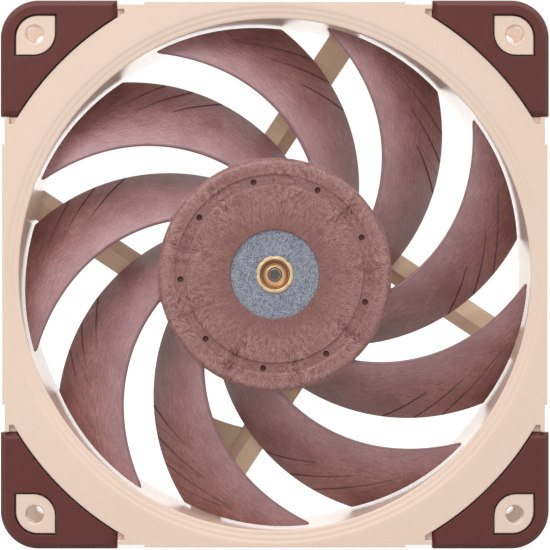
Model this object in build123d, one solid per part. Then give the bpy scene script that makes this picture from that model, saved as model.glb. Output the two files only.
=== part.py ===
from build123d import *
import os
from math import cos, hypot, pi, radians, sin, tan

# A 120 mm axial case fan, in millimetres.
# It stands upright: +Z is up, +X is right, and the intake side faces -Y.
# The origin is on the rotor's axis, half way between the two mounting faces.
# Every piece is drawn lying on its back, with the axis along Z and the intake side up,
# and is stood up when it is written.

# ---- driving dimensions -------------------------------------------------------------

SIZE = 120.0                # over the rubber corner pads
DEPTH = 25.0                # between the front and rear mounting faces
HOLE_SPACING = 105.0        # screw holes, both ways
HOLE_R = 1.95
HOLE_MOUTH_R = 2.2

PAD_FACE = DEPTH / 2
FRAME_FACE = PAD_FACE - 0.3         # the pads stand a little proud of the frame
FLANGE_INNER = 8.0                  # the inner face of each flange

DUCT_R = 56.05
DUCT_WALL = 2.15
INLET_R = 59.5                      # where faint steps start to lead down to the duct
STEP_COUNT = 3
STEP_WIDTH = 0.6                    # of each tread, and of the riser inside it
TREAD_SLOPE = 0.06
RISER_SLOPE = 0.30
DUCT_LIP_R = 0.2                    # rounding where the inlet turns into the duct

SIDE_MIDDLE_HALF = 59.6             # half the frame's width over the middle of a side
SIDE_MIDDLE_REACH = 28.5
SIDE_LIP_HALF = 59.05               # half its width beside the pads
SIDE_CORE_HALF = 58.2               # half its width under the pads

PAD_ARC_R = 66.25
PAD_END = 34.6                      # where a pad ends, measured from the middle of a side
PAD_CORNER_R = 8.3
PAD_THICKNESS = 2.4
PAD_SKIRT = SIZE / 2 - SIDE_CORE_HALF - 0.05
PAD_BEVEL = 1.15
CORE_CORNER_R = PAD_CORNER_R - 1.8

RECESS_ARC_R = 65.9                 # the pocket in the flange that holds a pad
RECESS_END = PAD_END - 0.2
SLOT_END = 32.9                     # the pocket's tail runs on past the pad
SLOT_HALF = 58.1
SLOT_DEPTH = 1.3

EYE_SIDE = 8.44                     # the eye-shaped boss around a screw hole
EYE_R = 4.7
EYE_CENTRE = 52.3
EYE_GAP = 0.42

STRUT_ANGLES = [56.5 + 90 * k for k in range(4)]
STRUT_OFFSET = 16.4                 # each strut passes the axis at this distance
STRUT_WIDTH = 6.6
STRUT_EDGE = 1.2                    # thickness at a strut's edges
STRUT_HEIGHT = 3.5                  # thickness at its ridge
STRUT_RIDGE = 0.4                   # where the ridge lies across its width
CABLE_STRUT = 2                     # the strut that carries the cable channel
CABLE_WIDTH = 3.8
CABLE_DEPTH = 1.9
CABLE_START = 12.0                  # how far out along its strut the channel starts
CABLE_TAB_R = (35.7, 44.0)
CABLE_TAB_ANGLES = (243.0, 261.5)
CABLE_TAB_THICKNESS = 1.3

BASE_R = 25.3                       # the motor base behind the rotor
BASE_WALL = 1.2
BASE_FLOOR = 1.5
BASE_RIM = -8.2
LABEL_R = 22.0
LABEL_RECESS = 0.3
TUBE_R = 5.2                        # the upright tube that carries bearing and stator
TUBE_TOP = 3.0

HUB_R = 25.5
HUB_FACE = 11.5
HUB_WALL = 1.6
HUB_REAR = -7.3
HUB_EDGE_R = 1.3
HUB_WINDOW_R = 9.8
HUB_CHANNEL_R = (19.5, 21.9)
HUB_CHANNEL_DEPTH = 0.3
GATE_COUNT = 9
GATE_RING_R = 20.7
GATE_R = 0.65
GATE_DEPTH = 0.4
GATE_ANGLE = 23.0

BLADE_COUNT = 9
TIP_R = 55.65
ROOT_R = 24.7                       # inside the hub's wall
# Along the span: radius, then the angle and the height of the leading edge,
# then the angle and the height of the trailing edge.
BLADE_STATIONS = [
    (24.0, 29.4, 9.3, -1.3, -6.3),
    (32.0, 42.9, 9.3, 14.2, -6.6),
    (40.0, 54.9, 9.1, 26.6, -6.8),
    (48.0, 66.9, 8.7, 37.8, -6.9),
    (57.0, 80.7, 8.1, 50.3, -7.0),
]
BLADE_THICK_ROOT = 2.2
BLADE_THICK_TIP = 1.3
BLADE_CAMBER = 0.075                # of the chord
LEADING_FRACTION = 0.55             # edge thickness, as a share of the full thickness
TRAILING_FRACTION = 0.30

YOKE_R = HUB_R - HUB_WALL
YOKE_WALL = 1.0
YOKE_FACE = 10.0
YOKE_CENTRE_FACE = 10.9
YOKE_REAR = HUB_REAR + 0.5
YOKE_CLEARANCE = 0.02               # between the raised centre and the hub's window
BOSS_NECK_R = 3.0                   # the brass boss, where it passes through the yoke
BOSS_HEAD_R = 4.05
BOSS_FLANGE_R = 5.0
BOSS_FLANGE = 3.2
MAGNET_WALL = 2.5
MAGNET_LOW, MAGNET_HIGH = -6.3, 7.0

SHAFT_R = 1.5
SHAFT_LOW, SHAFT_HIGH = -9.2, 10.95
SHAFT_GROOVE_R = 1.1
CLIP_R = 2.7
CLIP_THICKNESS = 0.45
CLIP_SLIT = 0.8
BEARING_CLEARANCE = 0.03
BEARING_R = 3.1
SHELL_R = 4.0
SHELL_LOW, SHELL_HIGH = -11.4, 5.0
SHELL_FLOOR = 0.6
SLEEVE_LOW = -7.3
SEAL_RING = 0.8
STABILISER = 1.0

CORE_R = 20.0
CORE_LOW, CORE_HIGH = -3.5, 4.5
POLES = 6
ARM_WIDTH = 3.2
SHOE_THICKNESS = 1.8
SLOT_OPENING = 2.0
INSULATOR = 0.8
INSULATOR_LIP = 2.6
COIL_IN, COIL_OUT = 8.4, 16.8
COIL_SIDE = 2.1
COIL_TOP = 1.7
COIL_CORNER_R = 1.4

BOARD_LOW, BOARD_HIGH = -9.6, -8.6
BOARD_R = 23.8
BOARD_HOLE_R = 6.0
PIN_COUNT = 3
PIN_R = 0.35
PIN_RING_R = 18.7

# Small components: distance from the axis, angle, length, width and height.
DRIVER_CHIP = (12.5, 100, 4.0, 5.0, 0.9)
CAPACITORS = [(13.0, angle, 1.25, 2.0, 0.9) for angle in (70, 135)]
RESISTORS = [(17.0, angle, 1.6, 0.8, 0.5) for angle in (80, 92, 108, 140)]
HALL_SENSOR = (21.3, 200, 1.8, 3.0, 0.8)
WIRE_PAD_R = 0.8
WIRE_PAD_HEIGHT = 0.5
WIRE_PAD_RING_R = 20.5
WIRE_PAD_ANGLES = (261.0, 271.0, 281.0, 291.0)

BEYOND = 5.0                        # how far a cutting shape runs past what it cuts


# ---- plain shapes -------------------------------------------------------------------

def disc(radius, low, high):
    """A cylinder about the axis, from height low to height high."""
    return extrude(Pos(0, 0, low) * Circle(radius), amount=high - low)


def ring(outer_r, inner_r, low, high):
    """A plain ring about the axis."""
    return extrude(Pos(0, 0, low) * (Circle(outer_r) - Circle(inner_r)), amount=high - low)


def slab(outline, low, high):
    """A flat outline, made solid from height low to height high."""
    return extrude(Pos(0, 0, low) * outline, amount=high - low)


def turned(points):
    """A turned shape from a half section, given as (radius, height) points."""
    return revolve(Plane.XZ * make_face(Polyline(*points, close=True)), axis=Axis.Z)


def block(x, y, z, length, width, height):
    """A block centred on x and y, standing on height z."""
    return Pos(x, y, z + height / 2) * Box(length, width, height)


def around(shape, count, start=0.0):
    """Copies of a shape, evenly spaced about the axis."""
    return [Rot(0, 0, start + 360 / count * k) * shape for k in range(count)]


def joined(shapes):
    """Several touching shapes as one solid."""
    first, *rest = shapes
    for shape in rest:
        first = first + shape
    return first


# ---- frame --------------------------------------------------------------------------

def corner_regions(arc_r, end, half, corner_r):
    """The four flat corner areas outside an arc and beyond the middle of each side."""
    square = RectangleRounded(2 * half, 2 * half, corner_r)
    cross = Rectangle(2 * end, 3 * half) + Rectangle(3 * half, 2 * end)
    return square - Circle(arc_r) - cross


def eye(grow=0.0):
    """The eye-shaped outline around the screw hole of the corner at +X +Y."""
    side = EYE_SIDE + 2 * grow
    outline = Rectangle(side, side)
    corners = outline.vertices().sort_by(lambda v: v.X + v.Y)
    outline = fillet([corners[0], corners[-1]], EYE_R + grow)
    return Pos(EYE_CENTRE, EYE_CENTRE) * outline


def four_eyes(grow=0.0):
    """The eye-shaped outline at all four corners."""
    return joined(around(eye(grow), 4))


def flange_outline():
    """One flange from the front: full width at each middle, narrower under the pads."""
    core = RectangleRounded(2 * SIDE_CORE_HALF, 2 * SIDE_CORE_HALF, CORE_CORNER_R)
    lips = Rectangle(2 * RECESS_END, 2 * SIDE_LIP_HALF)
    lips = lips + Rectangle(2 * SIDE_LIP_HALF, 2 * RECESS_END)
    middles = Rectangle(2 * SIDE_MIDDLE_REACH, 2 * SIDE_MIDDLE_HALF)
    middles = middles + Rectangle(2 * SIDE_MIDDLE_HALF, 2 * SIDE_MIDDLE_REACH)
    return core + lips + middles


def pad_recess():
    """The pocket that is cut into a flange for the four pads, around the eye bosses."""
    under_pad = corner_regions(RECESS_ARC_R, RECESS_END, SIZE / 2 + 1, PAD_CORNER_R)
    tail = corner_regions(RECESS_ARC_R, SLOT_END, SLOT_HALF, PAD_CORNER_R)
    pocket = slab(under_pad - four_eyes(), PAD_FACE - PAD_THICKNESS, PAD_FACE)
    return pocket + slab(tail - four_eyes(), PAD_FACE - SLOT_DEPTH, PAD_FACE)


def screw_hole():
    """A screw hole with a chamfered mouth, at the origin, cut from the front face."""
    widen = HOLE_MOUTH_R - HOLE_R
    return turned([
        (0, 0),
        (HOLE_R, 0),
        (HOLE_R, FRAME_FACE - widen),
        (HOLE_MOUTH_R, FRAME_FACE),
        (HOLE_MOUTH_R, PAD_FACE),
        (0, PAD_FACE),
    ])


def front_flange():
    """The front flange, still solid in the middle."""
    flange = slab(flange_outline(), FLANGE_INNER, FRAME_FACE)
    flange = flange - pad_recess()
    hole = Pos(HOLE_SPACING / 2, HOLE_SPACING / 2) * screw_hole()
    for cut in around(hole, 4):
        flange = flange - cut
    return flange


def inlet_steps():
    """The inlet's section as (radius, height) points: flat treads and sloping risers."""
    radius, height = INLET_R, FRAME_FACE
    points = [(radius, height)]
    for slope in [TREAD_SLOPE, RISER_SLOPE] * STEP_COUNT:
        width = min(STEP_WIDTH, radius - DUCT_R - DUCT_LIP_R)
        radius -= width
        height -= width * slope
        points.append((radius, height))
    return points


def duct_bore():
    """The air's way through the frame: faint steps, a rounded lip, then the straight duct."""
    steps = inlet_steps()
    lip_r, lip_height = steps[-1]
    half_turn = DUCT_LIP_R * (1 - cos(pi / 4))
    rear = -PAD_FACE - BEYOND
    front = PAD_FACE + BEYOND
    outline = Wire([
        Line((0, rear), (DUCT_R, rear)),
        Line((DUCT_R, rear), (DUCT_R, lip_height - DUCT_LIP_R)),
        ThreePointArc(
            (DUCT_R, lip_height - DUCT_LIP_R),
            (DUCT_R + half_turn, lip_height - half_turn),
            (lip_r, lip_height),
        ),
        *Polyline(*steps[::-1]).edges(),
        Line(steps[0], (INLET_R, front)),
        Line((INLET_R, front), (0, front)),
        Line((0, front), (0, rear)),
    ])
    return revolve(Plane.XZ * make_face(outline), axis=Axis.Z)


def strut():
    """A strut along +X: flat behind, with a ridge in front that is off its middle."""
    rear = -FRAME_FACE
    low = STRUT_OFFSET - STRUT_WIDTH / 2
    high = STRUT_OFFSET + STRUT_WIDTH / 2
    section = Polyline(
        (low, rear),
        (high, rear),
        (high, rear + STRUT_EDGE),
        (low + STRUT_RIDGE * STRUT_WIDTH, rear + STRUT_HEIGHT),
        (low, rear + STRUT_EDGE),
        close=True,
    )
    bar = extrude(Plane.YZ * make_face(section), amount=DUCT_R + DUCT_WALL)
    return bar


def cable_tab():
    """A web that widens the cable strut beyond the motor base."""
    inner, outer = CABLE_TAB_R
    start, end = [radians(angle) for angle in CABLE_TAB_ANGLES]
    web = ring(outer, inner, -FRAME_FACE, -FRAME_FACE + CABLE_TAB_THICKNESS)
    far = 2 * outer
    wedge = make_face(Polyline(
        (0, 0),
        (far * cos(start), far * sin(start)),
        (far * cos(end), far * sin(end)),
        close=True,
    ))
    return web & slab(wedge, -PAD_FACE, 0)


def struts():
    """The four struts, trimmed to the space between motor base and duct."""
    bars = [Rot(0, 0, angle) * strut() for angle in STRUT_ANGLES]
    bars.append(cable_tab())
    outer = DUCT_R + DUCT_WALL / 2
    inner = BASE_R - BASE_WALL / 2
    return joined(bars) & ring(outer, inner, -PAD_FACE, 0)


def motor_base():
    """The shallow cup behind the rotor, with the tube that carries the bearing."""
    rear = -FRAME_FACE
    floor = rear + BASE_FLOOR
    pocket = SHELL_LOW
    return turned([
        (0, rear + LABEL_RECESS),
        (LABEL_R + 0.2, rear + LABEL_RECESS),
        (LABEL_R + 0.2, rear),
        (BASE_R, rear),
        (BASE_R, BASE_RIM),
        (BASE_R - BASE_WALL, BASE_RIM),
        (BASE_R - BASE_WALL, floor),
        (TUBE_R, floor),
        (TUBE_R, TUBE_TOP),
        (SHELL_R, TUBE_TOP),
        (SHELL_R, pocket),
        (0, pocket),
    ])


def cable_channel():
    """The groove in the back of one strut, from the motor base to the frame's side."""
    length = SIZE
    rear = -FRAME_FACE - BEYOND
    height = CABLE_DEPTH + BEYOND
    groove = block(CABLE_START + length / 2, STRUT_OFFSET, rear, length, CABLE_WIDTH, height)
    groove = Rot(0, 0, STRUT_ANGLES[CABLE_STRUT]) * groove
    return groove - disc(BASE_R - BASE_WALL - 2.0, -PAD_FACE - BEYOND, 0)


def frame():
    """The frame as one moulding."""
    half = front_flange()
    body = half + mirror(half, Plane.XY)
    body = body + disc(DUCT_R + DUCT_WALL, -FLANGE_INNER, FLANGE_INNER)
    body = body - duct_bore()
    body = body + struts() + motor_base()
    return body - cable_channel()


# ---- rubber corner pads -------------------------------------------------------------

def front_pad():
    """The pad on the front corner at +X +Y: a plate, with a skirt around the flange."""
    quadrant = Pos(SIZE / 2, SIZE / 2) * Rectangle(SIZE, SIZE)
    region = corner_regions(PAD_ARC_R, PAD_END, SIZE / 2, PAD_CORNER_R) & quadrant
    inside = SIZE / 2 - PAD_SKIRT
    core = RectangleRounded(2 * inside, 2 * inside, PAD_CORNER_R - PAD_SKIRT)
    pad = slab(region, FLANGE_INNER, PAD_FACE)
    outer_edges = pad.edges().group_by(Axis.Z)[-1].filter_by(
        lambda edge: max(abs(edge.center().X), abs(edge.center().Y)) > SIZE / 2 - 2.5)
    pad = chamfer(outer_edges, PAD_BEVEL)
    pad = pad - slab(core, FLANGE_INNER - 1, PAD_FACE - PAD_THICKNESS)
    pad = pad - slab(eye(EYE_GAP), 0, PAD_FACE + 1)
    return pad


# ---- rotor --------------------------------------------------------------------------

def blend(stations, radius, column):
    """A smooth value between the blade's stations, by Lagrange's formula."""
    total = 0.0
    for here in stations:
        weight = 1.0
        for other in stations:
            if other is not here:
                weight *= (radius - other[0]) / (here[0] - other[0])
        total += weight * here[column]
    return total


def blade_point(radius, chord):
    """Angle and height of the blade's middle surface; chord is 0 at the leading edge."""
    lead_angle = blend(BLADE_STATIONS, radius, 1)
    lead_height = blend(BLADE_STATIONS, radius, 2)
    trail_angle = blend(BLADE_STATIONS, radius, 3)
    trail_height = blend(BLADE_STATIONS, radius, 4)
    width = radius * radians(lead_angle - trail_angle)
    bulge = BLADE_CAMBER * hypot(width, lead_height - trail_height) * 4 * chord * (1 - chord)
    angle = lead_angle + (trail_angle - lead_angle) * chord
    height = lead_height + (trail_height - lead_height) * chord + bulge
    return angle, height


def blade_section(distance):
    """The blade cut by a flat plane square to a radius, at a distance from the axis."""
    middle_angle = blade_point(distance, 0.5)[0]
    span = (distance - BLADE_STATIONS[0][0]) / (BLADE_STATIONS[-1][0] - BLADE_STATIONS[0][0])
    thickness = BLADE_THICK_ROOT + (BLADE_THICK_TIP - BLADE_THICK_ROOT) * span
    count = 9
    line = []
    for k in range(count):
        chord = k / (count - 1)
        radius = distance
        for _ in range(12):         # find where this line of the blade meets the plane
            turn = radians(blade_point(radius, chord)[0] - middle_angle)
            radius = distance / cos(turn)
        angle, height = blade_point(radius, chord)
        line.append((distance * tan(radians(angle - middle_angle)), height))
    front = []
    back = []
    for k, (across, height) in enumerate(line):
        before = line[max(k - 1, 0)]
        after = line[min(k + 1, count - 1)]
        length = hypot(after[0] - before[0], after[1] - before[1])
        normal = ((after[1] - before[1]) / length, (before[0] - after[0]) / length)
        chord = k / (count - 1)
        if chord < 0.35:
            share = LEADING_FRACTION + (1 - LEADING_FRACTION) * sin(chord / 0.35 * pi / 2)
        else:
            share = 1 - (1 - TRAILING_FRACTION) * ((chord - 0.35) / 0.65) ** 1.5
        half = thickness * share / 2
        front.append((across + normal[0] * half, height + normal[1] * half))
        back.append((across - normal[0] * half, height - normal[1] * half))
    wire = Wire([
        Spline(*front),
        Line(front[-1], back[-1]),
        Spline(*back[::-1]),
        Line(back[0], front[0]),
    ])
    # the section's plane: its x runs with the blade's rotation, its y runs up
    turn = radians(middle_angle)
    plane = Plane(
        origin=(distance * cos(turn), distance * sin(turn), 0),
        x_dir=(-sin(turn), cos(turn), 0),
        z_dir=(cos(turn), sin(turn), 0),
    )
    return plane * make_face(wire)


def blade():
    """One blade, from inside the hub's wall to the tip circle."""
    distances = [20.5, 26.0, 31.5, 37.0, 42.5, 48.0, 53.0, 57.5]
    solid = loft([blade_section(distance) for distance in distances])
    return solid & ring(TIP_R, ROOT_R, HUB_REAR, HUB_FACE)


def hub():
    """The impeller's hub: a cap over the steel yoke, open in the middle."""
    cap = turned([
        (HUB_WINDOW_R, YOKE_FACE),
        (YOKE_R, YOKE_FACE),
        (YOKE_R, HUB_REAR),
        (HUB_R, HUB_REAR),
        (HUB_R, HUB_FACE),
        (HUB_WINDOW_R, HUB_FACE),
    ])
    rim = cap.edges().group_by(Axis.Z)[-1].sort_by(lambda edge: edge.radius)[-1]
    cap = fillet(rim, HUB_EDGE_R)
    inner, outer = HUB_CHANNEL_R
    cap = cap - ring(outer, inner, HUB_FACE - HUB_CHANNEL_DEPTH, HUB_FACE + 1)
    floor = HUB_FACE - HUB_CHANNEL_DEPTH
    gate = Pos(GATE_RING_R, 0) * disc(GATE_R, floor - GATE_DEPTH, HUB_FACE)
    for cut in around(gate, GATE_COUNT, GATE_ANGLE):
        cap = cap - cut
    return cap


def impeller():
    """Hub and nine blades, one moulding."""
    return joined([hub()] + around(blade(), BLADE_COUNT))


def rotor_yoke():
    """The steel cup in the hub; its raised centre shows in the hub's window."""
    wall_in = YOKE_R - YOKE_WALL
    centre_in = HUB_WINDOW_R - YOKE_WALL
    centre_out = HUB_WINDOW_R - YOKE_CLEARANCE
    return turned([
        (BOSS_NECK_R, YOKE_CENTRE_FACE - YOKE_WALL),
        (centre_in, YOKE_CENTRE_FACE - YOKE_WALL),
        (centre_in, YOKE_FACE - YOKE_WALL),
        (wall_in, YOKE_FACE - YOKE_WALL),
        (wall_in, YOKE_REAR),
        (YOKE_R, YOKE_REAR),
        (YOKE_R, YOKE_FACE),
        (centre_out, YOKE_FACE),
        (centre_out, YOKE_CENTRE_FACE),
        (BOSS_NECK_R, YOKE_CENTRE_FACE),
    ])


def rotor_magnet():
    """The ring magnet inside the yoke."""
    outer = YOKE_R - YOKE_WALL
    return ring(outer, outer - MAGNET_WALL, MAGNET_LOW, MAGNET_HIGH)


def shaft_boss():
    """The turned brass boss that holds the shaft in the yoke."""
    top = YOKE_CENTRE_FACE
    under = YOKE_CENTRE_FACE - YOKE_WALL
    return turned([
        (SHAFT_R, under - BOSS_FLANGE),
        (BOSS_FLANGE_R, under - BOSS_FLANGE),
        (BOSS_FLANGE_R, under),
        (BOSS_NECK_R, under),
        (BOSS_NECK_R, top),
        (BOSS_HEAD_R, top),
        (BOSS_HEAD_R, top + 0.35),
        (3.4, top + 0.35),
        (3.25, top),
        (2.95, top),
        (2.8, top + 0.3),
        (2.1, top - 0.05),
        (1.7, top + 0.05),
        (SHAFT_R, top - 0.15),
    ])


def shaft():
    """The 3 mm shaft: chamfered in front, grooved for its clip, domed behind."""
    return turned([
        (0, SHAFT_LOW),
        (0.7, SHAFT_LOW + 0.05),
        (1.2, SHAFT_LOW + 0.3),
        (SHAFT_R, SHAFT_LOW + 0.75),
        (SHAFT_R, SHAFT_LOW + 0.85),
        (SHAFT_GROOVE_R, SHAFT_LOW + 0.85),
        (SHAFT_GROOVE_R, SHAFT_LOW + 1.4),
        (SHAFT_R, SHAFT_LOW + 1.4),
        (SHAFT_R, SHAFT_HIGH - 0.4),
        (1.1, SHAFT_HIGH),
        (0, SHAFT_HIGH),
    ])


def retaining_clip():
    """The split washer in the shaft's groove, which keeps the rotor in."""
    low = SHAFT_LOW + 0.9
    clip = ring(CLIP_R, SHAFT_GROOVE_R, low, low + CLIP_THICKNESS)
    return clip - block(CLIP_R, 0, low - 1, 2 * CLIP_R, CLIP_SLIT, 3)


# ---- bearing ------------------------------------------------------------------------

def bearing_shell():
    """The blind brass tube around the bearing."""
    floor = SHELL_LOW + SHELL_FLOOR
    return disc(SHELL_R, SHELL_LOW, SHELL_HIGH) - disc(BEARING_R, floor, SHELL_HIGH + 1)


def bearing_sleeve():
    """The sintered sleeve that the shaft runs in."""
    return ring(BEARING_R, SHAFT_R + BEARING_CLEARANCE, SLEEVE_LOW, SHELL_HIGH - SEAL_RING)


def oil_seal_ring():
    """The ring that closes the bearing in front."""
    return ring(BEARING_R, SHAFT_R + 0.25, SHELL_HIGH - SEAL_RING, SHELL_HIGH)


def stabilising_magnet():
    """The small magnet behind the thrust plate, which pulls the shaft's end to it."""
    floor = SHELL_LOW + SHELL_FLOOR
    return disc(BEARING_R - 0.1, floor, floor + STABILISER)


def thrust_plate():
    """The slippery plate that the shaft's end turns on."""
    low = SHELL_LOW + SHELL_FLOOR + STABILISER
    return disc(BEARING_R - 0.1, low, SHAFT_LOW - 0.05)


# ---- stator -------------------------------------------------------------------------

def pole_outline(inner_r, outer_r, arm_width, shoe):
    """The flat star of one lamination: a ring, six arms and their curved shoes."""
    star = Circle(inner_r + 2.3)
    for k in range(POLES):
        reach = outer_r - shoe / 2
        arm = Pos(reach / 2, 0) * Rectangle(reach, arm_width)
        star = star + Rot(0, 0, 360 / POLES * k) * arm
    shoes = Circle(outer_r) - Circle(outer_r - shoe)
    for k in range(POLES):
        gap = Pos(outer_r, 0) * Rectangle(4 * shoe, SLOT_OPENING)
        shoes = shoes - Rot(0, 0, 360 / POLES * (k + 0.5)) * gap
    return star + shoes - Circle(inner_r)


def stator_core():
    """The stack of laminations."""
    return slab(pole_outline(TUBE_R, CORE_R, ARM_WIDTH, SHOE_THICKNESS), CORE_LOW, CORE_HIGH)


def insulator(face, direction):
    """A moulded cover on one face of the core, with lips that hold the windings."""
    thick = INSULATOR * direction
    lip = INSULATOR_LIP * direction
    low, high = sorted((face, face + thick))
    plate = slab(pole_outline(TUBE_R, CORE_R - 0.3, ARM_WIDTH, SHOE_THICKNESS - 0.3), low, high)
    low, high = sorted((face, face + lip))
    collar = ring(TUBE_R + 2.3, TUBE_R, low, high)
    shoes = Circle(CORE_R - 0.3) - Circle(CORE_R - SHOE_THICKNESS)
    for k in range(POLES):
        gap = Pos(CORE_R, 0) * Rectangle(4 * SHOE_THICKNESS, 3 * SLOT_OPENING)
        shoes = shoes - Rot(0, 0, 360 / POLES * (k + 0.5)) * gap
    return plate + collar + slab(shoes, low, high)


def stator_coils():
    """Six windings, one around each arm, between the insulators' lips."""
    low = CORE_LOW - INSULATOR
    high = CORE_HIGH + INSULATOR
    length = COIL_OUT - COIL_IN
    middle = (COIL_OUT + COIL_IN) / 2
    outside = block(middle, 0, low - COIL_TOP, length, ARM_WIDTH + 2 * COIL_SIDE,
                    high - low + 2 * COIL_TOP)
    outside = fillet(outside.edges().filter_by(Axis.X), COIL_CORNER_R)
    inside = block(middle, 0, low, length + 2, ARM_WIDTH, high - low)
    return around(outside - inside, POLES)


def winding_pins():
    """Three pins that carry the winding ends down to the circuit board."""
    pin = Pos(PIN_RING_R, 0) * disc(PIN_R, BOARD_LOW - 0.5, CORE_LOW - INSULATOR_LIP)
    return around(pin, PIN_COUNT)


# ---- circuit board ------------------------------------------------------------------

def circuit_board():
    """The round board in the motor base."""
    board = ring(BOARD_R, BOARD_HOLE_R, BOARD_LOW, BOARD_HIGH)
    hole = Pos(PIN_RING_R, 0) * disc(PIN_R, BOARD_LOW - 1, BOARD_HIGH + 1)
    for cut in around(hole, PIN_COUNT):
        board = board - cut
    return board


def under_board(radius, angle, length, width, height):
    """A small component on the rear of the board."""
    return Rot(0, 0, angle) * block(radius, 0, BOARD_LOW - height, length, width, height)


def driver_chip():
    """The motor driver."""
    return under_board(*DRIVER_CHIP)


def capacitors():
    """Two ceramic capacitors."""
    return [under_board(*place) for place in CAPACITORS]


def resistors():
    """Four chip resistors."""
    return [under_board(*place) for place in RESISTORS]


def hall_sensor():
    """The sensor on the front of the board, under the rotor magnet's edge."""
    radius, angle, length, width, height = HALL_SENSOR
    return Rot(0, 0, angle) * block(radius, 0, BOARD_HIGH, length, width, height)


def wire_pads():
    """Four solder joints for the lead's wires, beside the cable channel."""
    joint = Pos(WIRE_PAD_RING_R, 0) * disc(WIRE_PAD_R, BOARD_LOW - WIRE_PAD_HEIGHT, BOARD_LOW)
    return [Rot(0, 0, angle) * joint for angle in WIRE_PAD_ANGLES]


def rear_label():
    """A blank round label in the recess behind the motor base."""
    rear = -FRAME_FACE + LABEL_RECESS
    return disc(LABEL_R, rear - 0.15, rear)


# ---- writing ------------------------------------------------------------------------

def stand_up(shape):
    """Turn a piece, or a list of pieces, from lying on its back to standing."""
    if isinstance(shape, list):
        return Compound(children=[solid for piece in shape for solid in stand_up(piece).solids()])
    return Rot(90, 0, 0) * shape


def write(node, shape):
    """Write one node's STEP."""
    export_step(stand_up(shape), f"parts/{node}.step")


def main():
    os.makedirs("parts", exist_ok=True)
    write("frame", frame())
    front = front_pad()
    rear = mirror(front, Plane.XY)
    for k, corner in enumerate(("top_right", "top_left", "bottom_left", "bottom_right")):
        write(f"pad_front_{corner}", Rot(0, 0, 90 * k) * front)
        write(f"pad_rear_{corner}", Rot(0, 0, 90 * k) * rear)
    write("impeller", impeller())
    write("rotor_yoke", rotor_yoke())
    write("rotor_magnet", rotor_magnet())
    write("shaft_boss", shaft_boss())
    write("shaft", shaft())
    write("retaining_clip", retaining_clip())
    write("bearing_shell", bearing_shell())
    write("bearing_sleeve", bearing_sleeve())
    write("oil_seal_ring", oil_seal_ring())
    write("stabilising_magnet", stabilising_magnet())
    write("thrust_plate", thrust_plate())
    write("stator_core", stator_core())
    write("front_insulator", insulator(CORE_HIGH, 1))
    write("rear_insulator", insulator(CORE_LOW, -1))
    write("stator_coils", stator_coils())
    write("winding_pins", winding_pins())
    write("circuit_board", circuit_board())
    write("driver_chip", driver_chip())
    write("capacitors", capacitors())
    write("resistors", resistors())
    write("hall_sensor", hall_sensor())
    write("wire_pads", wire_pads())
    write("rear_label", rear_label())


main()
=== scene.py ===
"""A 120 mm case fan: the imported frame, with a finer impeller and full materials.

The sizes of the impeller and the boss, and of the details in the materials, are in
millimetres. FLOOR_Z, FRONT_Y and the sizes of the stage are in metres.
The fan stands upright: +X right, +Z up, the intake side faces -Y.
"""
import math

import bpy
import numpy as np
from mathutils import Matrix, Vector


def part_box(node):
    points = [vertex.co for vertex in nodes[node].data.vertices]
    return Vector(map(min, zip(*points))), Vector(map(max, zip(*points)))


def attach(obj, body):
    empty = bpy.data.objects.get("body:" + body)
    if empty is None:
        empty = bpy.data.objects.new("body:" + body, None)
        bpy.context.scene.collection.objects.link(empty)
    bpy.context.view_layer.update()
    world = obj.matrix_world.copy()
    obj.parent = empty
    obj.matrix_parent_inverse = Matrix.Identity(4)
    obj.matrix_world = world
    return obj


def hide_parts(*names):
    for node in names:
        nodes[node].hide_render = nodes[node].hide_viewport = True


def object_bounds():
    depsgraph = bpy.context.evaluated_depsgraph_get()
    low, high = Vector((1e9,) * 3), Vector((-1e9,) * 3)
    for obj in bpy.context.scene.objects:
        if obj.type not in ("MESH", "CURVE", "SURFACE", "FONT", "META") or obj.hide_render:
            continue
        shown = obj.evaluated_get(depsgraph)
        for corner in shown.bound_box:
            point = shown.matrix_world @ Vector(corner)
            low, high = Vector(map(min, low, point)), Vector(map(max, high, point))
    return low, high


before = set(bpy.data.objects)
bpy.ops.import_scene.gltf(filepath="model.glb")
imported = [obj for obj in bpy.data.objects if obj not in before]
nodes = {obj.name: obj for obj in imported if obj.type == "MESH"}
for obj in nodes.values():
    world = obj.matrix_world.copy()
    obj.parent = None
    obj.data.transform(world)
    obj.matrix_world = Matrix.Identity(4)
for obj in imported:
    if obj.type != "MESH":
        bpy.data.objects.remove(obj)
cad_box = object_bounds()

MM = 0.001
scene = bpy.context.scene

# ---- places taken from the frame ----------------------------------------------------

FLOOR_Z = cad_box[0][2]
FRONT_Y = cad_box[0][1]                 # the plane of the front pads
HUB_FACE = -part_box("impeller")[0].y / MM
HUB_REAR = -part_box("impeller")[1].y / MM
TIP_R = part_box("impeller")[1].x / MM
YOKE_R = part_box("rotor_yoke")[1].x / MM
BOSS_FACE = -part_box("shaft_boss")[0].y / MM

# ---- impeller sizes, in millimetres, heights measured towards the intake side -------

HUB_R = 25.5
HUB_EDGE_R = 1.3
HUB_SHOULDER = 0.16                     # the wall stands out below the rounded rim
HUB_WINDOW_R = 9.8
HUB_FACE_UNDER = 10.0
CHANNEL_R = (19.5, 21.9)
CHANNEL_DEPTH = 0.38
CHANNEL_SLOPE = 0.42
GATE_COUNT = 9
GATE_RING_R = 20.7
GATE_R = 0.66
GATE_DEPTH = 0.45
GATE_RIDGE = 0.03                       # a fine raised lip round each gate mark
GATE_ANGLE = 23.0
HUB_STEPS = 1044                        # points round the hub
BOSS_STEPS = 288                        # points round the boss

BLADE_COUNT = 9
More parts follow.
